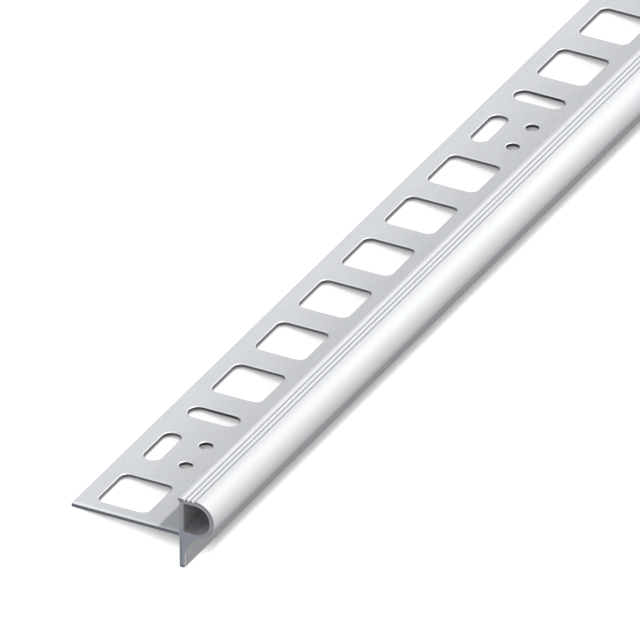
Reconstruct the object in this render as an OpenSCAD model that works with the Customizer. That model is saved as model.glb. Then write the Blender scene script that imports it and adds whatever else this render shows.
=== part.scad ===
// Stair nosing for tiled steps, an extruded and punched aluminium profile.
// A perforated flange beds under the tread tile, a web with a small lip covers the tile's
// edge, a round hollow nose stands in front, and a short leg hangs down before the riser.
//
// The section is drawn flat, with the flange level: x is 0 at the back face of web and leg
// and grows towards the flange's back edge, y is 0 at the flange's underside.
// The finished length lies as it comes to rest on a floor, on the flange's back edge and
// the leg's foot, so it is turned by resting_tilt about its length.

/* [Length] */
// Length of the piece
piece_length = 1000; // [200:10:3000]

/* [Flange] */
// Depth of the flange, from the back face of the web to its back edge
flange_depth = 27.7; // [22:0.1:40]
// Thickness of the flange
flange_t = 1; // [0.8:0.1:1.5]
// Radius of the flange's back edges and of the foot's back edge
edge_r = 0.25; // [0.1:0.05:0.35]
// Radius in the corners where the flange meets web and leg
root_r = 0.4; // [0.2:0.1:0.8]

/* [Web and lip] */
// Height of the profile over the flange's underside
profile_h = 10; // [9:0.5:12.5]
// Thickness of the web
web_t = 1.2; // [1:0.1:1.6]
// How far the lip stands out behind the web
lip_reach = 0.45; // [0.3:0.05:0.8]
// Thickness of the lip, which has a half-round tip
lip_t = 0.85; // [0.7:0.05:1.1]

/* [Nose] */
// Reach of the nose, from the back face of the web to its foremost line
nose_reach = 8.8; // [8.4:0.1:10]
// Outer radius of the nose
nose_r = 4.75; // [4.4:0.05:5.2]
// Wall at the front of the nose
nose_wall = 1.05; // [0.9:0.05:1.4]
// Wall over the chamber, which carries the grooves
top_wall = 1.2; // [1.1:0.05:1.5]
// Radius in the two back corners of the chamber
chamber_corner_r = 0.4; // [0.2:0.1:0.8]

/* [Grip grooves] */
// Number of grooves along the top
groove_count = 3; // [1:1:3]
// Distance from the back face of the web to the first groove
groove_start = 1.5; // [1.2:0.05:1.6]
// Distance from groove to groove
groove_pitch = 1.14; // [0.9:0.02:1.2]
// Radius of the groove's bottom
groove_r = 0.28; // [0.2:0.02:0.34]
// Depth of a groove
groove_depth = 0.35; // [0.2:0.05:0.5]

/* [Leg] */
// Depth of the leg under the flange's underside
leg_depth = 8.2; // [6:0.1:12]
// Thickness of the leg
leg_t = 1.5; // [1.3:0.1:2]
// Radius of the foot's front edge
foot_r = 0.8; // [0.4:0.1:0.9]
// How far the gusset comes down on the leg
gusset_drop = 3.9; // [2.5:0.1:4.8]
// How far the gusset reaches forward under the nose
gusset_reach = 5; // [4.6:0.1:5.4]
// Radius of the gusset's hollow face
gusset_r = 12; // [8:0.5:30]

/* [Punched holes] */
// Land between the near end and the first hole
end_land = 3.6; // [2:0.1:10]
// Distance from hole to hole along the flange
hole_pitch = 21.1; // [19:0.1:26]
// Land between the back edge and the holes
hole_inset = 4.3; // [3:0.1:4.8]
// Square holes in a row between two nailing stations
row_count = 6; // [2:1:10]
// Length of a square hole along the piece
square_l = 13.7; // [10:0.1:15]
// Width of a square hole across the flange
square_w = 13.1; // [10:0.1:14]
// Corner radius of a square hole
square_r = 2; // [1:0.1:4]
// Length of the slot that lies along the piece
slot_l = 13.2; // [11:0.1:15]
// Width of the slot that lies along the piece
slot_w = 4.6; // [3:0.1:6]
// Width of the slot that lies across the flange
cross_slot_w = 5; // [3:0.1:6]
// Length of the slot that lies across the flange
cross_slot_l = 13; // [10:0.1:14]
// Distance from the cross slot's start to the next square hole
cross_step = 12.3; // [11:0.1:16]
// Diameter of a nail hole
nail_d = 3.2; // [2.5:0.1:4]
// Distance between the two nail holes of a station
nail_gap = 9.7; // [8:0.1:12]
// Distance from the back edge to the nail holes
nail_inset = 15.25; // [14:0.05:17]

/* [Hidden] */
$fn = 64;

// How far joined shapes run into each other, and cutters run past a face
bite = 0.2;
punch_over = 1;

nose_x = nose_r - nose_reach;
nose_y = profile_h - nose_r;
chamber_r = nose_r - nose_wall;
chamber_y = profile_h - top_wall - chamber_r;

// The gusset's hollow face runs from the leg's front face up to the nose
gusset_low = [-leg_t, -gusset_drop];
gusset_high = [-gusset_reach, nose_y - sqrt(pow(nose_r, 2) - pow(nose_x + gusset_reach, 2))];
gusset_chord = gusset_high - gusset_low;
gusset_half = norm(gusset_chord) / 2;
gusset_out = [-gusset_chord.y, gusset_chord.x] / norm(gusset_chord);
gusset_centre = (gusset_low + gusset_high) / 2
    + gusset_out * sqrt(pow(gusset_r, 2) - pow(gusset_half, 2));

// The profile rests on two corners of the same radius: the flange's back edge and the
// foot's back edge
resting_tilt = atan(leg_depth / flange_depth);
rest_back = (flange_depth - edge_r) * cos(resting_tilt)
    + (flange_t - edge_r) * sin(resting_tilt) + edge_r;
rest_front = nose_x * cos(resting_tilt) + nose_y * sin(resting_tilt) - nose_r;
rest_low = edge_r * cos(resting_tilt) - (flange_depth - edge_r) * sin(resting_tilt) - edge_r;

// One run of the pattern: a nailing station, its cross slot and a row of square holes
station_l = max(slot_l, nail_gap + nail_d);
run_l = (row_count + 1) * hole_pitch + cross_step;
run_count = ceil(piece_length / run_l);

// Start of a run's nailing station, from the near end
function run_start(run) = end_land + hole_pitch + run * run_l;

// Whether a hole or station that starts there leaves a whole land at both ends
function lands(start, size) =
    start > end_land - bite && start + size < piece_length - end_land;

// Rounds an outer corner at the origin whose body lies towards -x and -y
module corner_waste(r) {
    difference() {
        translate([-r, -r])
            square(r + bite);
        translate([-r, -r])
            circle(r);
    }
}

// Fills an inner corner at the origin whose room lies towards +x and +y
module corner_fill(r) {
    difference() {
        translate([-bite, -bite])
            square(r + bite);
        translate([r, r])
            circle(r);
    }
}

module flange_section() {
    difference() {
        translate([-web_t, 0])
            square([web_t + flange_depth, flange_t]);
        translate([flange_depth, flange_t])
            corner_waste(edge_r);
        translate([flange_depth, 0])
            rotate(-90)
                corner_waste(edge_r);
    }
    translate([0, flange_t])
        corner_fill(root_r);
    rotate(-90)
        corner_fill(root_r);
}

module web_section() {
    translate([-web_t, 0])
        square([web_t, profile_h]);
    translate([-web_t, profile_h - lip_t])
        square([web_t + lip_reach - lip_t / 2, lip_t]);
    translate([lip_reach - lip_t / 2, profile_h - lip_t / 2])
        circle(d = lip_t);
}

module leg_section() {
    difference() {
        translate([-leg_t, -leg_depth])
            square([leg_t, leg_depth + flange_t]);
        translate([0, -leg_depth])
            rotate(-90)
                corner_waste(edge_r);
        translate([-leg_t, -leg_depth])
            rotate(180)
                corner_waste(foot_r);
    }
}

// Half a disc with its centre at the origin, round towards -x
module front_half(r) {
    intersection() {
        circle(r);
        translate([-r - bite, -r - bite])
            square([r + bite, 2 * (r + bite)]);
    }
}

module nose_section() {
    translate([nose_x, nose_y])
        front_half(nose_r);
    translate([nose_x, nose_y - nose_r])
        square([-nose_x, 2 * nose_r]);
}

module gusset_section() {
    difference() {
        translate([-gusset_reach - bite, -gusset_drop])
            square([gusset_reach + bite - leg_t / 2, gusset_drop + nose_y]);
        translate(gusset_centre)
            circle(gusset_r, $fn = 256);
    }
}

// The hollow of the nose: flat against the web, round to the front
module chamber_section() {
    back_l = -web_t - nose_x;
    translate([nose_x, chamber_y])
        front_half(chamber_r);
    difference() {
        translate([nose_x, chamber_y - chamber_r])
            square([back_l, 2 * chamber_r]);
        translate([-web_t, chamber_y + chamber_r])
            corner_waste(chamber_corner_r);
        translate([-web_t, chamber_y - chamber_r])
            rotate(-90)
                corner_waste(chamber_corner_r);
    }
}

module groove_section() {
    translate([0, profile_h - groove_depth + groove_r])
        circle(groove_r);
    translate([-groove_r, profile_h - groove_depth + groove_r])
        square([2 * groove_r, groove_depth]);
}

module profile_section() {
    difference() {
        union() {
            flange_section();
            web_section();
            leg_section();
            nose_section();
            gusset_section();
        }
        chamber_section();
        for (i = [0 : groove_count - 1])
            translate([-groove_start - i * groove_pitch, 0])
                groove_section();
    }
}

// A rounded opening drawn along x from the origin and centred on y
module rounded_opening(size_x, size_y, r) {
    translate([0, r - size_y / 2])
        square([size_x, size_y - 2 * r]);
    translate([r, -size_y / 2])
        square([size_x - 2 * r, size_y]);
    for (x = [r, size_x - r], y = [r - size_y / 2, size_y / 2 - r])
        translate([x, y])
            circle(r);
}

// A slot with full round ends, drawn along x from the origin and centred on y
module round_slot(size_x, size_y) {
    translate([size_y / 2, -size_y / 2])
        square([size_x - size_y, size_y]);
    for (x = [size_y / 2, size_x - size_y / 2])
        translate([x, 0])
            circle(d = size_y);
}

// Each outline below is drawn in plan, with x from its own start along the piece and y
// from the flange's back edge towards the nose
module square_outline() {
    translate([0, hole_inset + square_w / 2])
        rounded_opening(square_l, square_w, square_r);
}

module station_outline() {
    translate([(station_l - slot_l) / 2, hole_inset + slot_w / 2])
        round_slot(slot_l, slot_w);
    for (side = [-1, 1])
        translate([station_l / 2 + side * nail_gap / 2, nail_inset])
            circle(d = nail_d);
}

module cross_slot_outline() {
    translate([cross_slot_w / 2, hole_inset])
        rotate(90)
            round_slot(cross_slot_l, cross_slot_w);
}

module punch_plan() {
    for (run = [-1 : run_count]) {
        start = run_start(run);
        if (lands(start, station_l))
            translate([start, 0])
                station_outline();
        if (lands(start + hole_pitch, cross_slot_w))
            translate([start + hole_pitch, 0])
                cross_slot_outline();
        for (i = [0 : row_count - 1]) {
            square_start = start + hole_pitch + cross_step + i * hole_pitch;
            if (lands(square_start, square_l))
                translate([square_start, 0])
                    square_outline();
        }
    }
}

// The extruded length with its flange punched, flange level, near end at x = 0
module punched_length() {
    difference() {
        rotate([90, 0, 90])
            linear_extrude(piece_length)
                profile_section();
        translate([0, flange_depth, flange_t + punch_over])
            rotate([180, 0, 0])
                linear_extrude(flange_t + 2 * punch_over)
                    punch_plan();
    }
}

module nosing() {
    color([0.80, 0.81, 0.83])
        translate([-piece_length / 2, -(rest_back + rest_front) / 2, -rest_low])
            rotate([-resting_tilt, 0, 0])
                punched_length();
}

nosing();
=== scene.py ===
"""Stair nosing for tiled steps: an extruded, punched and anodised aluminium profile.

The profile is swept in its flat position, with the flange level, x along the piece from the
near end, y from the web towards the flange's back edge and z up. It is then turned onto the
two edges that it rests on.
"""

import math

import bpy
from bpy.props import FloatProperty, FloatVectorProperty, IntProperty, PointerProperty
from mathutils import Matrix, Vector
from mathutils.geometry import tessellate_polygon


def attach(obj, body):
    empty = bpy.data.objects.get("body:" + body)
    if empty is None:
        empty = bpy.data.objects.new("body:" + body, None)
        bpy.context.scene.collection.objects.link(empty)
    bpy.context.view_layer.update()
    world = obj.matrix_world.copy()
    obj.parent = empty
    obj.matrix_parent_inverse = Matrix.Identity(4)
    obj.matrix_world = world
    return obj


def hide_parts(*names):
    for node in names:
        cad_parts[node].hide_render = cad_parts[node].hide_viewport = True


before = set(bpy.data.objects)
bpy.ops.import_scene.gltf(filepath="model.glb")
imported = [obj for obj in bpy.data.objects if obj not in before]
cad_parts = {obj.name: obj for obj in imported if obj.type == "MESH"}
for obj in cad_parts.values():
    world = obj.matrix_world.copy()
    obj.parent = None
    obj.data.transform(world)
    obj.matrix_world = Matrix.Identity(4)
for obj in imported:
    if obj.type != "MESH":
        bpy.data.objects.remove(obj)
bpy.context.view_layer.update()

bl_info = {
    "name": "Punched stair nosing",
    "version": (1, 0, 0),
    "blender": (4, 5, 0),
    "location": "3D View > Sidebar > Nosing",
    "description": "Builds an aluminium stair nosing with its studio stage",
    "category": "Object",
}

PIECE = "punched_profile"
NODE = "nosing"
BODY = "root"
MM = 0.001

# Points closer than this are one point
SAME = 0.002 * MM

# Finishes of the piece, in the order of its material slots
FINISHES = ("satin", "flange", "mill", "bore", "sawn", "rim", "punched")

# Degrees from point to point on the section's arcs, and round a hole's corners
RIDGE_STEP = 18
EDGE_STEP = 15
TIP_STEP = 10
CHAMBER_STEP = 5
NOSE_STEP = 3
HOLE_STEP = 15

# Least number of steps in an arc
ARC_STEPS = 5

# Where the last ridge's rounding ends, in degrees, because the nose falls away from there
LAST_RIDGE_END = 88

# How far the broken edge may draw in an outer arc, as a share of its radius
ARC_ROOM = 0.7

# How far it may draw in any other point, in metres, which is as good as no limit
FREE_ROOM = 1.0

# The least that a mitre divides by, which keeps a sharp corner from running out
MITRE_LIMIT = 0.5

# How far a rim leans over, in degrees, from the wall up to the flange's face
RIM_LEANS = (0, 25, 50, 68)

# How far the cutters run past the flange's faces
CUTTER_OVER = 0.06 * MM

# How much of the end land the first hole may take
LAND_SLACK = 0.2 * MM

# Scribed line, in millimetres from the flange's back edge
SCRIBE_INSET = 3.0

# Half the floor's width
FLOOR_HALF = 60.0

# Width of the camera's sensor, in millimetres
SENSOR = 36.0

# The key lamp's direction, distance and spread
KEY_FROM = (0.15, -0.2336, 0.9723)
KEY_FAR = 3.0
KEY_SPREAD = math.radians(3.0)

# The floor lamp's direction and distance, and its width and height as shares of the distance
LOW_FROM = (-0.97, -0.17, 1.0)
LOW_FAR = 1000.0
LOW_WIDTH = 0.025
LOW_HEIGHT = 0.35


def length(name, description, default):
    """A size in metres, given here in millimetres."""
    return FloatProperty(
        name=name,
        description=description,
        default=default * MM,
        min=0.0,
        unit="LENGTH",
        precision=5,
    )


def colour(name, description, default):
    return FloatVectorProperty(
        name=name,
        description=description,
        default=default,
        size=3,
        min=0.0,
        max=1.0,
        subtype="COLOR",
    )


def share(name, description, default):
    return FloatProperty(
        name=name, description=description, default=default, min=0.0, max=1.0, subtype="FACTOR"
    )


def amount(name, description, default, least=0.0):
    """A plain number from the least up."""
    return FloatProperty(name=name, description=description, default=default, min=least)


def angle(name, description, default):
    """An angle in radians, given here in degrees."""
    return FloatProperty(
        name=name, description=description, default=math.radians(default), subtype="ANGLE"
    )


def how_many(name, description, default, least, most):
    return IntProperty(name=name, description=description, default=default, min=least, max=most)


class ProfileSizes(bpy.types.PropertyGroup):
    """Sizes of the extruded section and the length of the piece."""

    piece_length: length("Piece length", "Length of the piece", 1000)
    flange_depth: length("Flange depth", "Web's back face to the flange's back edge", 27.7)
    flange_t: length("Flange thickness", "Thickness of the flange", 1)
    edge_r: length("Edge radius", "Radius of the back edges of flange and foot", 0.25)
    root_r: length("Root radius", "Radius in the corners of flange, web and leg", 0.4)
    profile_h: length("Profile height", "Height over the flange's underside", 10)
    web_t: length("Web thickness", "Thickness of the web", 1.2)
    lip_reach: length("Lip reach", "How far the lip stands out behind the web", 0.45)
    lip_t: length("Lip thickness", "Thickness of the lip with its half-round tip", 0.85)
    nose_reach: length("Nose reach", "Web's back face to the foremost line", 8.8)
    nose_r: length("Nose radius", "Outer radius of the nose", 4.75)
    nose_wall: length("Nose wall", "Wall at the front of the nose", 1.05)
    top_wall: length("Top wall", "Wall over the chamber", 1.2)
    chamber_corner_r: length("Chamber corner", "Radius in the chamber's back corners", 0.4)
    groove_count: how_many("Grooves", "Number of grip grooves", 3, 1, 3)
    groove_start: length("First groove", "Web's back face to the first groove", 1.5)
    groove_pitch: length("Groove pitch", "Distance from groove to groove", 1.14)
    groove_r: length("Groove radius", "Radius of the groove's bottom", 0.28)
    groove_depth: length("Groove depth", "Depth of a groove", 0.35)
    ridge_round: length("Ridge rounding", "Radius of the worn edges between grooves", 0.06)
    leg_depth: length("Leg depth", "Depth of the leg under the flange", 8.2)
    leg_t: length("Leg thickness", "Thickness of the leg", 1.5)
    foot_r: length("Foot radius", "Radius of the foot's front edge", 0.8)
    gusset_drop: length("Gusset drop", "How far the gusset comes down on the leg", 3.9)
    gusset_reach: length("Gusset reach", "How far the gusset reaches forward", 5)
    gusset_r: length("Gusset radius", "Radius of the gusset's hollow face", 12)
    end_break: length("End break", "Edge broken off round the sawn ends", 0.12)


class PunchSizes(bpy.types.PropertyGroup):
    """Sizes and places of the holes in the flange."""

    end_land: length("End land", "Near end to the first hole", 3.6)
    hole_pitch: length("Hole pitch", "Distance from hole to hole", 21.1)
    hole_inset: length("Hole inset", "Land between the back edge and the holes", 4.3)
    row_count: how_many("Squares in a row", "Squares between nailing stations", 6, 2, 10)
    square_l: length("Square length", "Square hole along the piece", 13.7)
    square_w: length("Square width", "Square hole across the flange", 13.1)
    square_r: length("Square corner", "Corner radius of a square hole", 2)
    slot_l: length("Slot length", "Slot that lies along the piece", 13.2)
    slot_w: length("Slot width", "Width of that slot", 4.6)
    cross_slot_w: length("Cross slot width", "Slot that lies across the flange", 5)
    cross_slot_l: length("Cross slot length", "Length of that slot", 13)
    cross_step: length("Cross step", "Cross slot's start to the next square hole", 12.3)
    nail_d: length("Nail hole", "Diameter of a nail hole", 3.2)
    nail_gap: length("Nail gap", "Distance between the two nail holes", 9.7)
    nail_inset: length("Nail inset", "Back edge to the nail holes", 15.25)
    rim_width: length("Rim width", "Width of the edge drawn in by the punch", 0.36)
    rim_depth: length("Rim depth", "Depth of that edge", 0.22)


class FinishColours(bpy.types.PropertyGroup):
    """Colours of the metal where it is finished, raw or cut."""

    satin: colour("Satin skin", "Anodised nose and ridges", (0.805, 0.81, 0.81))
    ridge: colour("Ridge tops", "Worn bright tops between the grooves", (0.92, 0.926, 0.945))
    # Painted shade: the colour of the grooves' shaded walls
    groove: colour("Groove walls", "Dull walls of the grooves", (0.225, 0.228, 0.238))
    # Partly a burnished rim from the punch and partly a painted highlight round the holes
    worn: colour("Worn edges", "Bright rims of the holes", (0.90, 0.905, 0.92))
    flange: colour("Flange skin", "Matt anodised flange", (0.636, 0.641, 0.652))
    # Painted shade: this skin's darker colour shades the leg, the web's back and the flange's
    # underside; its finish is a little more metallic
    mill: colour("Mill skin", "Leg, web's back and flange's underside", (0.575, 0.57, 0.58))
    bore: colour("Chamber", "Unlit wall of the hollow nose", (0.60, 0.595, 0.61))
    sawn: colour("Sawn end", "Bare metal of the sawn ends", (0.405, 0.413, 0.438))
    sawn_leg: colour("Sawn leg", "The same metal at the leg's end", (0.385, 0.408, 0.480))
    punched: colour("Punched edge", "Bare metal inside the holes", (0.26, 0.265, 0.28))
    metallic: share("Metal share", "How much of the skin shines as bare metal does", 0.30)


class StageSettings(bpy.types.PropertyGroup):
    """Camera, lamps and floor."""

    azimuth: angle("Azimuth", "Camera's turn round the piece, from the nose's side", -72.305)
    elevation: angle("Elevation", "Camera's height over the floor", 37.378)
    roll: angle("Roll", "Camera's turn about its own axis", 18.029)
    aim: FloatVectorProperty(
        name="Aim",
        description="Point in the middle of the picture",
        default=(-0.40996, 0.00300, 0.010),
        subtype="TRANSLATION",
        unit="LENGTH",
    )
    distance: FloatProperty(
        name="Distance", description="Camera to aim", default=6.8965, min=0.1, unit="LENGTH"
    )
    lens: amount("Lens", "Focal length in millimetres", 1700.0, 50.0)
    key_strength: amount("Key strength", "Irradiance of the key lamp", 2.2)
    sky_strength: amount("Sky strength", "Even light from all round", 0.36)
    sky_tint: colour("Sky tint", "Tint of that light", (0.93, 0.955, 1.0))
    low_strength: amount("Floor lamp strength", "Irradiance of the floor's own lamp", 3.4)
    floor_seen: colour("Floor seen", "Colour of the floor in the picture", (0.80, 0.80, 0.80))
    floor_cast: colour("Floor bounce", "Colour that the floor throws back", (0.40, 0.40, 0.40))
    floor_glow: amount("Floor glow", "What brings the floor to white for the camera", 0.24)
    floor_mirrored: share("Floor in metal", "How much of that glow metal mirrors", 0.35)


class Wire:
    """An output socket that takes part in Python expressions, each adding its Math node."""

    def __init__(self, graph, socket):
        self.graph = graph
        self.socket = socket

    def __add__(self, other):
        return self.graph.math("ADD", self, other)

    def __radd__(self, other):
        return self.graph.math("ADD", other, self)

    def __sub__(self, other):
        return self.graph.math("SUBTRACT", self, other)

    def __rsub__(self, other):
        return self.graph.math("SUBTRACT", other, self)

    def __mul__(self, other):
        return self.graph.math("MULTIPLY", self, other)

    def __rmul__(self, other):
        return self.graph.math("MULTIPLY", other, self)

    def __truediv__(self, other):
        return self.graph.math("DIVIDE", self, other)

    def __pow__(self, other):
        return self.graph.math("POWER", self, other)

    def __mod__(self, other):
        return self.graph.math("MODULO", self, other)

    def __neg__(self):
        return self.graph.math("SUBTRACT", 0.0, self)

    def __gt__(self, other):
        return self.graph.math("GREATER_THAN", self, other)

    def __lt__(self, other):
        return self.graph.math("LESS_THAN", self, other)

    def __abs__(self):
        return self.graph.math("ABSOLUTE", self)


class Graph:
    """Adds nodes to one node tree."""

    def __init__(self, tree):
        self.tree = tree
        tree.nodes.clear()

    def node(self, kind, settings=None, inputs=None, output=0):
        """Adds a node, makes its settings, fills its sockets and returns one output, if any."""
        made = self.tree.nodes.new(kind)
        made.location = (190 * len(self.tree.nodes), 0)
        for name, value in (settings or {}).items():
            setattr(made, name, value)
        for key, value in (inputs or {}).items():
            for one in value if isinstance(value, list) else [value]:
                self.feed(made.inputs[self.place(made.inputs, key)], one)
        if not made.outputs:
            return None
        return Wire(self, made.outputs[self.place(made.outputs, output)])

    @staticmethod
    def place(sockets, key):
        """Index of a socket that is given by its index, identifier or name."""
        if isinstance(key, int):
            return key
        for index, socket in enumerate(sockets):
            if socket.identifier == key:
                return index
        return [socket.name for socket in sockets].index(key)

    def feed(self, socket, value):
        if isinstance(value, Wire):
            self.tree.links.new(value.socket, socket)
        else:
            socket.default_value = value

    def math(self, operation, *values):
        return self.node("ShaderNodeMath", {"operation": operation}, dict(enumerate(values)))

    def ramp(self, value, low, high, start=0.0, end=1.0):
        """Maps value from low..high to start..end with soft ends."""
        return self.node(
            "ShaderNodeMapRange",
            {"interpolation_type": "SMOOTHSTEP"},
            {0: value, 1: low, 2: high, 3: start, 4: end},
        )

    def blend(self, factor, first, second, mode="MIX"):
        """Mixes two colours."""
        return self.node(
            "ShaderNodeMix",
            {"data_type": "RGBA", "blend_type": mode},
            {"Factor_Float": factor, "A_Color": first, "B_Color": second},
            "Result_Color",
        )

    def shaded(self, tint, level):
        """A colour times a grey level."""
        grey = self.node("ShaderNodeCombineColor", None, {0: level, 1: level, 2: level})
        return self.blend(1.0, tint, grey, "MULTIPLY")


def rgba(values):
    return (*values, 1.0)


class Section:
    """Closed outline of a section, with the finish and smoothness of each of its sides."""

    def __init__(self, start):
        self.points = [Vector(start)]
        self.rooms = [FREE_ROOM]
        self.sides = []

    def line(self, y, z, finish):
        end = Vector((y, z))
        if (end - self.points[-1]).length > SAME:
            self.points.append(end)
            self.rooms.append(FREE_ROOM)
            self.sides.append((finish, False))

    def arc(self, centre, radius, first, last, finish, step):
        """Adds an arc between two angles in degrees, counted from +y towards +z."""
        count = max(ARC_STEPS, math.ceil(abs(last - first) / step))
        room = ARC_ROOM * radius if last > first else FREE_ROOM
        self.line(*turned(centre, radius, first), finish)
        self.rooms[-1] = min(self.rooms[-1], room)
        for i in range(1, count + 1):
            point = turned(centre, radius, first + (last - first) * i / count)
            self.points.append(Vector(point))
            self.rooms.append(room)
            self.sides.append((finish, True))

    def close(self, finish):
        """Joins the last point to the first."""
        if (self.points[-1] - self.points[0]).length < SAME:
            self.points.pop()
            self.rooms.pop()
        else:
            self.sides.append((finish, False))

    def inset(self, depth):
        """The same points moved into the metal on their left, by less near tight arcs."""
        moved = []
        for i, point in enumerate(self.points):
            before = (point - self.points[i - 1]).normalized()
            after = (self.points[(i + 1) % len(self.points)] - point).normalized()
            normal = Vector((-before.y - after.y, before.x + after.x)).normalized()
            lean = max(MITRE_LIMIT, normal.dot(Vector((-before.y, before.x))))
            spans = ((other - point).length for other in self.points)
            room = min(room + span for room, span in zip(self.rooms, spans))
            moved.append(point + normal * (min(depth, room) / lean))
        return moved


def turned(centre, radius, degrees):
    """A point on a circle, at an angle in degrees."""
    turn = math.radians(degrees)
    return centre[0] + radius * math.cos(turn), centre[1] + radius * math.sin(turn)


def bearing(centre, point):
    """Angle in degrees of a point seen from a centre."""
    return math.degrees(math.atan2(point[1] - centre[1], point[0] - centre[0]))


def nose_centre(p):
    return p.nose_r - p.nose_reach, p.profile_h - p.nose_r


def outer_section(p):
    """Outline of the metal, run through with the metal on the left."""
    edge, root, worn = p.edge_r, p.root_r, p.ridge_round

    section = Section((p.flange_depth - edge, 0.0))
    section.arc((p.flange_depth - edge, edge), edge, -90, 0, "mill", EDGE_STEP)
    section.arc(
        (p.flange_depth - edge, p.flange_t - edge), edge, 0, 90, "flange", EDGE_STEP
    )
    section.arc((root, p.flange_t + root), root, -90, -180, "flange", EDGE_STEP)
    section.line(0.0, p.profile_h - p.lip_t, "mill")
    tip = (p.lip_reach - p.lip_t / 2, p.profile_h - p.lip_t / 2)
    section.arc(tip, p.lip_t / 2, -90, 90, "satin", TIP_STEP)

    top = p.profile_h - worn
    bottom = p.profile_h - p.groove_depth + p.groove_r
    for i in range(p.groove_count):
        y = -p.groove_start - i * p.groove_pitch
        right, left = y + p.groove_r + worn, y - p.groove_r - worn
        end = LAST_RIDGE_END if i == p.groove_count - 1 else 90
        section.arc((right, top), worn, 90, 180, "satin", RIDGE_STEP)
        section.arc((y, bottom), p.groove_r, 0, -180, "satin", EDGE_STEP)
        section.arc((left, top), worn, 0, end, "satin", RIDGE_STEP)

    nose = nose_centre(p)
    high = Vector((-p.gusset_reach, 0.0))
    high.y = nose[1] - math.sqrt(p.nose_r**2 - (nose[0] - high.x) ** 2)
    low = Vector((-p.leg_t, -p.gusset_drop))
    first, last = bearing(nose, section.points[-1]), 360 + bearing(nose, high)
    section.arc(nose, p.nose_r, first, last, "satin", NOSE_STEP)
    chord = high - low
    out = Vector((-chord.y, chord.x)).normalized()
    hollow = (low + high) / 2 + out * math.sqrt(p.gusset_r**2 - (chord.length / 2) ** 2)
    first, last = bearing(hollow, high), bearing(hollow, low)
    section.arc(hollow, p.gusset_r, first, last, "mill", NOSE_STEP)

    foot = (p.foot_r - p.leg_t, p.foot_r - p.leg_depth)
    section.arc(foot, p.foot_r, 180, 270, "mill", TIP_STEP)
    section.arc((-edge, edge - p.leg_depth), edge, 270, 360, "mill", EDGE_STEP)
    section.arc((root, -root), root, 180, 90, "mill", EDGE_STEP)
    section.close("mill")
    return section


def chamber_section(p):
    """Outline of the hollow, run through with the metal on the left."""
    y, _ = nose_centre(p)
    radius = p.nose_r - p.nose_wall
    z = p.profile_h - p.top_wall - radius
    corner = p.chamber_corner_r
    back = -p.web_t - corner
    section = Section((y, z + radius))
    section.arc((back, z + radius - corner), corner, 90, 0, "bore", EDGE_STEP)
    section.arc((back, z - radius + corner), corner, 0, -90, "bore", EDGE_STEP)
    section.arc((y, z), radius, -90, -270, "bore", CHAMBER_STEP)
    section.close("bore")
    return section


def add_rings(mesh_data, rings, side_of):
    """Adds rings of points and the walls between them, and returns their vertex numbers.

    side_of tells a wall's finish and smoothness from its layer and its place in the ring.
    """
    vertices, faces, sides = mesh_data
    numbered = []
    for ring in rings:
        numbered.append(list(range(len(vertices), len(vertices) + len(ring))))
        vertices.extend(ring)
    for layer, (lower, upper) in enumerate(zip(numbered, numbered[1:])):
        for i in range(len(lower)):
            j = (i + 1) % len(lower)
            faces.append((lower[i], lower[j], upper[j], upper[i]))
            sides.append(side_of(layer, i))
    return numbered


def sweep(mesh_data, section, p):
    """Adds one outline's walls along the piece, and returns its rings at both ends."""
    broken = section.inset(p.end_break)
    stations = [
        (0.0, broken),
        (p.end_break, section.points),
        (p.piece_length - p.end_break, section.points),
        (p.piece_length, broken),
    ]
    rings = [[(x, point.x, point.y) for point in points] for x, points in stations]
    numbered = add_rings(mesh_data, rings, lambda _, i: section.sides[i])
    return numbered[0], numbered[-1]


def cap(mesh_data, loops, outward):
    """Closes the metal at one end, and leaves the hollow open."""
    vertices, faces, sides = mesh_data
    order = [index for loop in loops for index in loop]
    outline = [[Vector((vertices[i][1], vertices[i][2], 0.0)) for i in loop] for loop in loops]
    for triangle in tessellate_polygon(outline):
        a, b, c = (order[i] for i in triangle)
        (_, ya, za), (_, yb, zb), (_, yc, zc) = vertices[a], vertices[b], vertices[c]
        area = (yb - ya) * (zc - za) - (yc - ya) * (zb - za)
        faces.append((a, b, c) if area * outward > 0 else (a, c, b))
        sides.append(("sawn", False))


def mesh_from(name, vertices, faces):
    mesh = bpy.data.meshes.new(name)
    mesh.from_pydata(vertices, [], faces)
    mesh.update()
    return mesh


def add_object(name, data):
    made = bpy.data.objects.new(name, data)
    bpy.context.scene.collection.objects.link(made)
    return made


def finished_object(name, mesh_data, materials):
    """An object whose faces have their own finish and smoothness."""
    vertices, faces, sides = mesh_data
    mesh = mesh_from(name, vertices, faces)
    for material in materials.values():
        mesh.materials.append(material)
    for polygon, (finish, smooth) in zip(mesh.polygons, sides):
        polygon.material_index = FINISHES.index(finish)
        polygon.use_smooth = smooth
    return add_object(name, mesh)


def swept_profile(p, materials):
    """The whole length without its holes, near end at x = 0."""
    data = ([], [], [])
    outer = sweep(data, outer_section(p), p)
    inner = sweep(data, chamber_section(p), p)
    for end, outward in ((0, -1), (1, 1)):
        cap(data, (outer[end], inner[end]), outward)
    return finished_object("swept_profile", data, materials)


def rounded_outline(size_x, size_y, radius):
    """Points and outward directions round an opening that is centred on the origin."""
    outline = []
    for quarter in range(4):
        sx = 1 if quarter in (0, 3) else -1
        sy = 1 if quarter in (0, 1) else -1
        corner = Vector((sx * (size_x / 2 - radius), sy * (size_y / 2 - radius)))
        for i in range(90 // HOLE_STEP + 1):
            out = Vector(turned((0.0, 0.0), 1.0, 90 * quarter + i * HOLE_STEP))
            outline.append((corner + out * radius, out))
    kept = []
    for point, out in outline:
        if not kept or (point - kept[-1][0]).length > SAME:
            kept.append((point, out))
    if (kept[0][0] - kept[-1][0]).length < SAME:
        kept.pop()
    return kept


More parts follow.
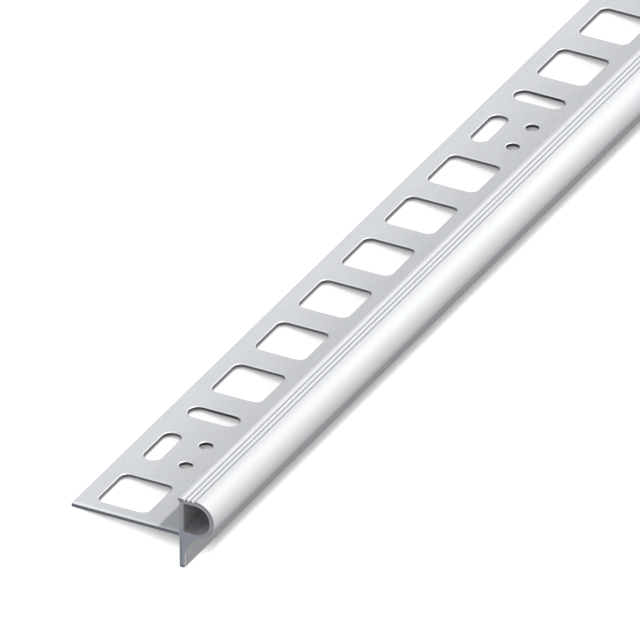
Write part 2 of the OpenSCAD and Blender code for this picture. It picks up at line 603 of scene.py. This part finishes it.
def punch_tool(name, openings, p, h, materials):
    """A cutter with flared ends, which leaves a drawn-in rim round each opening."""
    wide, deep = h.rim_width, h.rim_depth
    leans = [math.radians(lean) for lean in RIM_LEANS]
    curve = [(wide * (1 - math.cos(lean)), deep * math.sin(lean)) for lean in leans]
    steep = math.tan(leans[-1]) * wide / deep
    rim = [(out, p.flange_t - deep + up) for out, up in curve]
    reach = p.flange_t + CUTTER_OVER - rim[-1][1]
    rim.append((rim[-1][0] + reach * steep, p.flange_t + CUTTER_OVER))
    low_break = deep / 2
    wall = [(low_break + CUTTER_OVER, -CUTTER_OVER), (0.0, low_break)]
    data = ([], [], [])
    _, faces, sides = data
    for (x, y), outline in openings:
        rings = [
            [(x + at.x + way.x * out, y + at.y + way.y * out, z) for at, way in outline]
            for out, z in wall + rim
        ]
        numbered = add_rings(
            data, rings, lambda layer, _: ("punched" if layer < len(wall) else "rim", True)
        )
        faces.extend([tuple(reversed(numbered[0])), tuple(numbered[-1])])
        sides.extend([("punched", True)] * 2)
    return finished_object(name, data, materials)


def punch_tree():
    """Nodes that place the cutters along the flange and punch it."""
    tree = bpy.data.node_groups.new("Punch flange", "GeometryNodeTree")
    tree.interface.new_socket("Geometry", in_out="OUTPUT", socket_type="NodeSocketGeometry")
    inputs = {
        "Geometry": ("Geometry",),
        "Object": ("Square Cutter", "Station Cutter", "Cross Slot Cutter"),
        "Float": (
            "Piece Length",
            "End Land",
            "Hole Pitch",
            "Cross Step",
            "Square Length",
            "Station Length",
            "Cross Slot Width",
        ),
        "Int": ("Squares in a Row", "Runs"),
        "Material": ("Punched Edge",),
    }
    for kind, names in inputs.items():
        for name in names:
            tree.interface.new_socket(name, in_out="INPUT", socket_type="NodeSocket" + kind)

    graph = Graph(tree)
    group = graph.node("NodeGroupInput").socket.node
    given = {socket.name: Wire(graph, socket) for socket in group.outputs if socket.name}
    end_land, pitch = given["End Land"], given["Hole Pitch"]
    step, squares = given["Cross Step"], given["Squares in a Row"]
    run_length = (squares + 1) * pitch + step
    first = end_land + pitch

    def placed(cutter, per_run, offset, size):
        """Instances of a cutter, per_run of them in each run."""
        index = graph.node("GeometryNodeInputIndex")
        run = graph.math("FLOOR", (index + 0.5) / per_run)
        start = first + (run - 1) * run_length + offset + (index - run * per_run) * pitch
        past_near_land = start > end_land - LAND_SLACK
        before_far_land = start + size < given["Piece Length"] - end_land
        points = graph.node(
            "GeometryNodeMeshLine",
            {"mode": "OFFSET"},
            {"Count": (given["Runs"] + 2) * per_run},
        )
        place = graph.node("ShaderNodeCombineXYZ", None, {"X": start})
        points = graph.node(
            "GeometryNodeSetPosition", None, {"Geometry": points, "Position": place}
        )
        points = graph.node(
            "GeometryNodeDeleteGeometry",
            {"domain": "POINT"},
            {"Geometry": points, "Selection": 1 - past_near_land * before_far_land},
        )
        tool = graph.node("GeometryNodeObjectInfo", None, {"Object": cutter}, "Geometry")
        return graph.node(
            "GeometryNodeInstanceOnPoints", None, {"Points": points, "Instance": tool}
        )

    cutters = [
        placed(given["Square Cutter"], squares, pitch + step, given["Square Length"]),
        placed(given["Station Cutter"], 1.0, 0.0, given["Station Length"]),
        placed(given["Cross Slot Cutter"], 1.0, pitch, given["Cross Slot Width"]),
    ]
    tools = graph.node("GeometryNodeJoinGeometry", None, {"Geometry": cutters})
    tools = graph.node("GeometryNodeRealizeInstances", None, {"Geometry": tools})
    punched = graph.node(
        "GeometryNodeMeshBoolean",
        {"operation": "DIFFERENCE", "solver": "EXACT"},
        {"Mesh 1": given["Geometry"], "Mesh 2": tools},
    )
    even = graph.node("GeometryNodeTriangulate", {"ngon_method": "BEAUTY"}, {"Mesh": punched})
    whole = graph.node("GeometryNodeRealizeInstances", None, {"Geometry": even})
    edge = given["Punched Edge"]
    edges = graph.node("GeometryNodeMaterialSelection", None, {"Material": edge})
    whole = graph.node(
        "GeometryNodeSetMaterial",
        None,
        {"Geometry": whole, "Selection": edges, "Material": edge},
    )
    graph.node("NodeGroupOutput", None, {"Geometry": whole})
    return tree


def set_inputs(modifier, values):
    """Sets a modifier's inputs, which are named, through their identifiers."""
    for item in modifier.node_group.interface.items_tree:
        if item.in_out == "INPUT" and item.name in values:
            modifier[item.identifier] = values[item.name]


def punch_profile(profile, p, h, materials):
    """Punches the swept length, and leaves it a plain mesh."""
    depth, inset = p.flange_depth, h.hole_inset
    station = max(h.slot_l, h.nail_gap + h.nail_d)
    square = rounded_outline(h.square_l, h.square_w, h.square_r)
    slot = rounded_outline(h.slot_l, h.slot_w, h.slot_w / 2)
    nail = rounded_outline(h.nail_d, h.nail_d, h.nail_d / 2)
    cross_slot = rounded_outline(h.cross_slot_w, h.cross_slot_l, h.cross_slot_w / 2)
    openings = {
        "Square Cutter": [((h.square_l / 2, depth - inset - h.square_w / 2), square)],
        "Station Cutter": [
            ((station / 2, depth - inset - h.slot_w / 2), slot),
            ((station / 2 - h.nail_gap / 2, depth - h.nail_inset), nail),
            ((station / 2 + h.nail_gap / 2, depth - h.nail_inset), nail),
        ],
        "Cross Slot Cutter": [
            ((h.cross_slot_w / 2, depth - inset - h.cross_slot_l / 2), cross_slot),
        ],
    }
    cutters = {}
    for name, holes in openings.items():
        cutters[name] = punch_tool(name.lower().replace(" ", "_"), holes, p, h, materials)
    run_length = (h.row_count + 1) * h.hole_pitch + h.cross_step
    modifier = profile.modifiers.new("Punch flange", "NODES")
    modifier.node_group = punch_tree()
    set_inputs(
        modifier,
        {
            **cutters,
            "Piece Length": p.piece_length,
            "End Land": h.end_land,
            "Hole Pitch": h.hole_pitch,
            "Cross Step": h.cross_step,
            "Square Length": h.square_l,
            "Station Length": station,
            "Cross Slot Width": h.cross_slot_w,
            "Squares in a Row": h.row_count,
            "Runs": math.ceil(p.piece_length / run_length),
            "Punched Edge": materials["punched"],
        },
    )
    evaluated = profile.evaluated_get(bpy.context.evaluated_depsgraph_get())
    mesh = bpy.data.meshes.new_from_object(evaluated)
    profile.modifiers.remove(modifier)
    profile.data = mesh
    for cutter in cutters.values():
        bpy.data.objects.remove(cutter)


def resting_place(p):
    """What lays the flat position on the flange's back edge and the foot.

    Returns the whole transform, and its tilt and shift on their own.
    """
    tilt = math.atan(p.leg_depth / p.flange_depth)
    nose_y, nose_z = nose_centre(p)
    cos, sin = math.cos(tilt), math.sin(tilt)
    edge = p.edge_r
    back = (p.flange_depth - edge) * cos + (p.flange_t - edge) * sin + edge
    front = nose_y * cos + nose_z * sin - p.nose_r
    low = edge * cos - (p.flange_depth - edge) * sin - edge
    shift = Vector((-p.piece_length / 2, -(back + front) / 2, -low))
    return Matrix.Translation(shift) @ Matrix.Rotation(-tilt, 4, "X"), tilt, shift


def flat_coordinates(graph, p):
    """The piece's own coordinates, in millimetres, turned back to its flat position."""
    _, tilt, shift = resting_place(p)
    raw = graph.node("ShaderNodeTexCoord", None, None, "Object")
    back = {"Location": shift, "Rotation": (-tilt, 0.0, 0.0), "Scale": (MM, MM, MM)}
    return graph.node("ShaderNodeMapping", {"vector_type": "TEXTURE"}, {"Vector": raw, **back})


def noise(graph, flat, scales, detail, roughness):
    """A noise that is packed or drawn out by its own scale along each axis."""
    packed = graph.node(
        "ShaderNodeMapping", {"vector_type": "POINT"}, {"Vector": flat, "Scale": scales}
    )
    return graph.node(
        "ShaderNodeTexNoise",
        None,
        {"Vector": packed, "Scale": 1.0, "Detail": detail, "Roughness": roughness},
        "Fac",
    )


def split(graph, vector):
    parts = graph.node("ShaderNodeSeparateXYZ", None, {"Vector": vector}).socket.node
    return [Wire(graph, socket) for socket in parts.outputs]


def from_end(x, p):
    """Distance to the nearer sawn end, in millimetres."""
    half = p.piece_length / MM / 2
    return half - abs(x - half)


def metal(name, p, surface):
    """A metal finish; surface fills in its sockets from the flat coordinates."""
    material = bpy.data.materials.new(name)
    material.use_nodes = True
    graph = Graph(material.node_tree)
    inputs = surface(graph, flat_coordinates(graph, p))
    shader = graph.node("ShaderNodeBsdfPrincipled", None, inputs)
    graph.node("ShaderNodeOutputMaterial", None, {"Surface": shader})
    return material


def bumped(graph, height, distance):
    """A relief of the given depth, in millimetres."""
    return graph.node("ShaderNodeBump", None, {"Height": height, "Distance": distance * MM})


def skin_material(name, p, shade, dress, metallic, roughness, mottle):
    """Anodised or mill skin: die lines along the piece, faint clouds and a fine grain.

    dress changes the grey level, the height and the colour in a finish's own way.
    """

    def surface(graph, flat):
        lines = noise(graph, flat, (0.012, 5.0, 5.0), detail=3.0, roughness=0.6)
        coarse = noise(graph, flat, (0.004, 1.1, 1.1), detail=2.0, roughness=0.5)
        clouds = noise(graph, flat, (0.10, 0.25, 0.25), detail=3.0, roughness=0.55)
        blots = noise(graph, flat, (0.5, 0.9, 0.9), detail=2.0, roughness=0.5)
        grain = noise(graph, flat, (9.0, 9.0, 9.0), detail=2.0, roughness=0.6)
        level = 1.0 + mottle * (clouds + blots + 1.2 * lines - 1.6)
        level = level + 0.05 * (coarse - 0.5) + 0.04 * (grain - 0.5)
        height = 0.5 * lines + 0.3 * grain
        level, height, tint = dress(graph, flat, level, height, rgba(shade))
        return {
            "Base Color": graph.shaded(tint, level),
            "Metallic": metallic,
            "Roughness": roughness + 0.10 * (lines - 0.5) + 0.06 * (clouds - 0.5),
            "Normal": bumped(graph, height, 0.009),
        }

    return metal(name, p, surface)


def flange_dress(p):
    """A scribed line near the back edge, a painted highlight along the sawn ends, and painted
    shade that darkens the skin towards the web, with painted light towards the back edge.
    """
    back = p.flange_depth / MM

    def dress(graph, flat, level, height, tint):
        x, y, _ = split(graph, flat)
        across = abs(y - (back - SCRIBE_INSET))
        line = graph.ramp(across, 0.05, 0.16, 1.0, 0.0)
        # Painted shade towards the web and painted light towards the back edge
        painted_web_shade = graph.ramp(y, 2.0, back, 0.89, 1.10)
        # Painted highlight along the sawn ends
        end = graph.ramp(from_end(x, p), 0.55, 1.2, 1.0, 0.0)
        return (level + 0.06 * line + 0.27 * end) * painted_web_shade, height + 2.0 * line, tint

    return dress


def nose_dress(p, c):
    """The grooved top is lighter, and darker towards the lip. Painted shade darkens each
    groove, centred a little towards the nose, and the bottom of the nose.

    The broken edge round the nose's ends is darkened as painted shade.
    """
    start, pitch = p.groove_start / MM, p.groove_pitch / MM
    half = 0.5 * pitch
    end = start + (p.groove_count - 1) * pitch + 0.5
    # Each groove's painted shade is centred a little towards the nose
    groove_shade_line = start + 0.15

    def dress(graph, flat, level, height, tint):
        x, y, z = split(graph, flat)
        depth = -y
        # Painted shade on the broken edge round the nose's ends
        end_edge_band = (from_end(x, p) < p.end_break / MM) * (depth > end)
        grooved = (depth < end) * (depth > start - half)
        beside = abs((depth - groove_shade_line + half) % pitch - half)
        # Painted shade across each groove, fading out beside it
        painted_groove_shade = grooved * graph.ramp(beside, 0.16, 0.38, 1.0, 0.0)
        tint = graph.blend(depth < end, tint, rgba(c.ridge))
        tint = graph.blend(painted_groove_shade, tint, rgba(c.groove))
        # Darker towards the lip, and painted shade on the broken end edge
        level = level * graph.ramp(y, -0.95, -0.40, 1.0, 0.735) * (1.0 - 0.6 * end_edge_band)
        # Painted shade towards the bottom of the nose
        return level * graph.ramp(z, 4.2, 9.2, 0.945, 1.0), height, tint

    return dress


def mill_dress(p):
    """The broken edge at the leg's ends has a painted highlight in front."""
    face, drop = -p.leg_t / MM, -p.gusset_drop / MM

    def dress(graph, flat, level, height, tint):
        x, y, z = split(graph, flat)
        end_edge_band = from_end(x, p) < p.end_break / MM
        # Painted highlight on the leg's front, fading out towards the gusset
        front = (y < face + 0.3) * graph.ramp(z, drop - 1.0, drop + 0.3, 0.9, 0.0)
        return level * (1.0 + end_edge_band * front), height, tint

    return dress


def rim_dress(p):
    """Painted highlight: rims are lighter where they slope towards the near end or the web, and
    painted shade makes them darker where they slope away.
    """
    _, tilt, _ = resting_place(p)
    to_far_end, to_back_edge = 0.5, 0.87

    def dress(graph, flat, level, height, tint):
        normal = graph.node("ShaderNodeTexCoord", None, None, "Normal")
        along, across, up = split(graph, normal)
        across = across * math.cos(tilt) - up * math.sin(tilt)
        away = to_far_end * along + to_back_edge * across
        # Painted highlight and shade by the rim's slope
        return level * graph.ramp(away, -0.25, 0.15, 1.0, 0.63), height, tint

    return dress


def bore_material(p, shade):
    """Raw extruded wall of the hollow, as it left the die; painted shade darkens its flat back
    and the wall near the open ends, and painted light brightens the round wall and the wall
    deeper in.
    """
    corner = -p.web_t / MM

    def surface(graph, flat):
        lines = noise(graph, flat, (0.02, 4.0, 4.0), detail=3.0, roughness=0.6)
        x, y, _ = split(graph, flat)
        # Painted shade on the flat back, painted light on the round wall
        back = graph.ramp(y, corner - 0.45, corner - 0.05, 1.12, 0.85)
        # Painted shade near the open ends, painted light deeper in
        inward = graph.ramp(from_end(x, p), 0.0, 18.0, 0.86, 1.12)
        return {
            "Base Color": graph.shaded(rgba(shade), (0.85 + 0.3 * lines) * inward * back),
            "Metallic": 0.2,
            "Roughness": 0.8 + 0.1 * (lines - 0.5),
            "Normal": bumped(graph, lines, 0.01),
        }

    return metal("bore_wall", p, surface)


def sawn_material(p, shade, leg_shade):
    """Sawn end: fine slanting saw marks in bare metal, which is cooler on the leg.

    Painted shade gives a dark line round the nose and lip, and darkens the leg's heel under the
    flange and its foot by the floor; the whole of the flange's thin end is dark.
    """
    top, foot_z, nose_r = p.profile_h / MM, -p.leg_depth / MM, p.nose_r / MM
    nose_y, nose_z = (place / MM for place in nose_centre(p))

    def surface(graph, flat):
        _, y, z = split(graph, flat)
        marks = noise(graph, flat, (1.0, 0.35, 6.0), detail=3.0, roughness=0.6)
        spots = noise(graph, flat, (1.3, 1.3, 1.3), detail=2.0, roughness=0.5)
        forward = graph.math("MINIMUM", y - nose_y, 0.0)
        away = (forward * forward + (z - nose_z) * (z - nose_z)) ** 0.5
        # Painted shade: a dark line along the outer edge round the nose, and at the lip
        outer = graph.ramp(away, nose_r - 0.48, nose_r - 0.26, 0.0, 0.42)
        outer = outer * graph.ramp(z, nose_z - 2.0, nose_z + 1.0)
        lip = graph.ramp(y, -1.6, -0.9) * graph.ramp(z, top - 1.1, top - 0.8, 0.0, 0.32)
        # Painted shade at the leg's heel under the flange and at its foot by the floor
        heel = 0.2 * (y > -0.6) * (z < -0.3)
        foot = 0.38 * (z < foot_z + 0.7)
        dark = graph.math("MAXIMUM", outer, lip)
        dark = graph.math("MAXIMUM", dark, graph.math("MAXIMUM", heel, foot))
        thin = 0.51 * (y > 0.1) * (z < 1.2)
        level = (0.91 + 0.16 * marks + 0.08 * spots) * (1.0 - dark) * (1.0 - thin)
        level = level * graph.ramp(z, 1.0, 5.0, 1.0, 1.1)
        tint = graph.blend(graph.ramp(z, -4.0, 8.0), rgba(leg_shade), rgba(shade))
        return {
            "Base Color": graph.shaded(tint, level),
            "Metallic": 0.75,
            "Roughness": 0.42 + 0.2 * (marks - 0.5),
            "Normal": bumped(graph, marks, 0.012),
        }

    return metal("sawn_end", p, surface)


def punched_material(p, shade, back_wall):
    """Wall of a punched hole: a burnished band at the top, painted dark as shade, and torn
    metal below it, painted lighter to stand in for the grey shadow on the floor beside the
    hole.

    On the back walls, which lie at y = back_wall, the lighter band is weaker, as painted shade.
    """

    def surface(graph, flat):
        _, y, z = split(graph, flat)
        back = graph.ramp(y, back_wall - 1.8, back_wall - 0.2)
        torn = noise(graph, flat, (7.0, 7.0, 1.5), detail=3.0, roughness=0.65)
        edge = z + 0.12 * (torn - 0.5) + 0.05 * back
        below = graph.ramp(edge, 0.12, 0.24, 1.0, 0.0)
        # Painted shade at the top, and a lighter band below that stands in for the floor's
        # shadow, weaker on the back walls
        level = 0.69 + (2.2 - 1.2 * back) * below + 0.3 * (torn - 0.5)
        return {
            "Base Color": graph.shaded(rgba(shade), level),
            "Metallic": 0.7,
            "Roughness": 0.34 + 0.3 * below,
            "Normal": bumped(graph, torn * below, 0.03),
        }

    return metal("punched_edge", p, surface)


def finishes(p, h, c):
    """One material for each finish, in the order of FINISHES."""
    back_wall = (p.flange_depth - h.hole_inset) / MM
    return {
        "satin": skin_material(
            "satin_anodised",
            p,
            c.satin,
            nose_dress(p, c),
            metallic=0.25,
            roughness=0.7,
            mottle=0.03,
        ),
        "flange": skin_material(
            "matt_flange",
            p,
            c.flange,
            flange_dress(p),
            metallic=c.metallic,
            roughness=0.5,
            mottle=0.09,
        ),
        # Painted shade on the leg, the web's back and the flange's underside
        "mill": skin_material(
            "mill_skin_and_shade",
            p,
            c.mill,
            mill_dress(p),
            metallic=c.metallic + 0.1,
            roughness=0.5,
            mottle=0.1,
        ),
        "bore": bore_material(p, c.bore),
        "sawn": sawn_material(p, c.sawn, c.sawn_leg),
        "rim": skin_material(
            "rim_burnish_and_highlight",
            p,
            c.worn,
            rim_dress(p),
            metallic=0.3,
            roughness=0.42,
            mottle=0.04,
        ),
        "punched": punched_material(p, c.punched, back_wall),
    }


class NOSING_OT_profile(bpy.types.Operator):
    """Build the punched profile in the finish of the photographed piece"""

    bl_idname = "nosing.profile"
    bl_label = "Punched profile"
    bl_options = {"REGISTER", "UNDO"}

    def execute(self, context):
        scene = context.scene
        p, h = scene.nosing_profile, scene.nosing_punch
        materials = finishes(p, h, scene.nosing_finish)
        piece = swept_profile(p, materials)
        punch_profile(piece, p, h, materials)
        piece.name = PIECE
        piece.data.name = PIECE
        place, _, _ = resting_place(p)
        piece.data.transform(place)
        piece.data.update()
        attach(piece, BODY)
        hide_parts(NODE)
        return {"FINISHED"}


def white_rays(graph, gloss):
    """1 for what the camera sees straight or through glass, gloss for what metal mirrors."""
    path = graph.node("ShaderNodeLightPath").socket.node
    seen = {socket.name: Wire(graph, socket) for socket in path.outputs}
    both = graph.math("MAXIMUM", seen["Is Camera Ray"], seen["Is Glossy Ray"] * gloss)
    return graph.math("MAXIMUM", both, seen["Is Transmission Ray"])


def make_floor(s):
    signs = ((-1, -1), (1, -1), (1, 1), (-1, 1))
    corners = [(x * FLOOR_HALF, y * FLOOR_HALF, 0.0) for x, y in signs]
    floor = add_object("floor", mesh_from("floor", corners, [(0, 1, 2, 3)]))
    material = bpy.data.materials.new("pale_floor")
    material.use_nodes = True
    graph = Graph(material.node_tree)
    seen = white_rays(graph, s.floor_mirrored)
    shade = graph.blend(seen, rgba(s.floor_cast), rgba(s.floor_seen))
    diffuse = graph.node("ShaderNodeBsdfDiffuse", None, {"Color": shade})
    glow = graph.node("ShaderNodeEmission", None, {"Strength": seen * s.floor_glow})
    both = graph.node("ShaderNodeAddShader", None, {0: diffuse, 1: glow})
    graph.node("ShaderNodeOutputMaterial", None, {"Surface": both})
    floor.data.materials.append(material)


def make_sky(s):
    world = bpy.data.worlds.new("studio")
    world.use_nodes = True
    graph = Graph(world.node_tree)
    strength = s.sky_strength + white_rays(graph, 1.0) * (1.0 - s.sky_strength)
    tint = graph.blend(white_rays(graph, 0.0), rgba(s.sky_tint), rgba((1.0, 1.0, 1.0)))
    sky = graph.node("ShaderNodeBackground", None, {"Color": tint, "Strength": strength})
    graph.node("ShaderNodeOutputWorld", None, {"Surface": sky})
    bpy.context.scene.world = world


def make_lamp(name, kind, towards, far, floor_link, **settings):
    """A lamp that shines from the given direction and distance onto the piece.

    floor_link, EXCLUDE or INCLUDE, keeps its light off the floor or on the floor alone.
    """
    data = bpy.data.lights.new(name, kind)
    for key, value in settings.items():
        setattr(data, key, value)
    lamp = add_object(name, data)
    towards = Vector(towards).normalized()
    lamp.rotation_euler = towards.to_track_quat("Z", "Y").to_euler()
    lamp.location = towards * far
    linked = bpy.data.collections.new(name + "_link")
    linked.objects.link(bpy.data.objects["floor"])
    linked.collection_objects[0].light_linking.link_state = floor_link
    lamp.light_linking.receiver_collection = linked


def make_camera(s):
    data = bpy.data.cameras.new("camera")
    data.lens = s.lens
    data.sensor_width = SENSOR
    data.clip_start = 0.1
    data.clip_end = 100.0
    camera = add_object("camera", data)
    level = math.cos(s.elevation)
    back = Vector(
        (math.sin(s.azimuth) * level, -math.cos(s.azimuth) * level, math.sin(s.elevation))
    )
    right = Vector((0.0, 0.0, 1.0)).cross(back).normalized()
    turn = Matrix((right, back.cross(right), back)).transposed().to_4x4()
    place = Matrix.Translation(Vector(s.aim) + back * s.distance)
    camera.matrix_world = place @ turn @ Matrix.Rotation(s.roll, 4, "Z")
    bpy.context.scene.camera = camera


class NOSING_OT_stage(bpy.types.Operator):
    """Set up the floor, the lamps and the camera"""

    bl_idname = "nosing.stage"
    bl_label = "Studio stage"
    bl_options = {"REGISTER", "UNDO"}

    def execute(self, context):
        s = context.scene.nosing_stage
        make_floor(s)
        make_sky(s)
        make_lamp(
            "key",
            "SUN",
            KEY_FROM,
            KEY_FAR,
            "EXCLUDE",
            energy=s.key_strength,
            angle=KEY_SPREAD,
        )
        make_lamp(
            "floor_lamp",
            "AREA",
            LOW_FROM,
            LOW_FAR,
            "INCLUDE",
            energy=s.low_strength * math.pi * LOW_FAR**2,
            shape="RECTANGLE",
            size=LOW_WIDTH * LOW_FAR,
            size_y=LOW_HEIGHT * LOW_FAR,
        )
        make_camera(s)
        context.scene.view_settings.view_transform = "Standard"
        return {"FINISHED"}


class NOSING_PT_panel(bpy.types.Panel):
    """Sizes, colours and steps of the nosing"""

    bl_idname = "NOSING_PT_panel"
    bl_label = "Stair nosing"
    bl_space_type = "VIEW_3D"
    bl_region_type = "UI"
    bl_category = "Nosing"

    def draw(self, context):
        layout = self.layout
        for operator in OPERATORS:
            layout.operator(operator.bl_idname)
        for name in SETTINGS:
            group = getattr(context.scene, name)
            box = layout.box()
            for key in group.bl_rna.properties.keys():
                if key not in ("rna_type", "name"):
                    box.prop(group, key)


SETTINGS = {
    "nosing_profile": ProfileSizes,
    "nosing_punch": PunchSizes,
    "nosing_finish": FinishColours,
    "nosing_stage": StageSettings,
}
OPERATORS = (NOSING_OT_stage, NOSING_OT_profile)


def register():
    for name, group in SETTINGS.items():
        bpy.utils.register_class(group)
        setattr(bpy.types.Scene, name, PointerProperty(type=group))
    for cls in (*OPERATORS, NOSING_PT_panel):
        bpy.utils.register_class(cls)


def unregister():
    for cls in (NOSING_PT_panel, *reversed(OPERATORS)):
        bpy.utils.unregister_class(cls)
    for name, group in reversed(SETTINGS.items()):
        delattr(bpy.types.Scene, name)
        bpy.utils.unregister_class(group)


def main():
    register()
    bpy.ops.nosing.stage()
    bpy.ops.nosing.profile()
    bpy.context.view_layer.update()


if __name__ == "__main__":
    main()
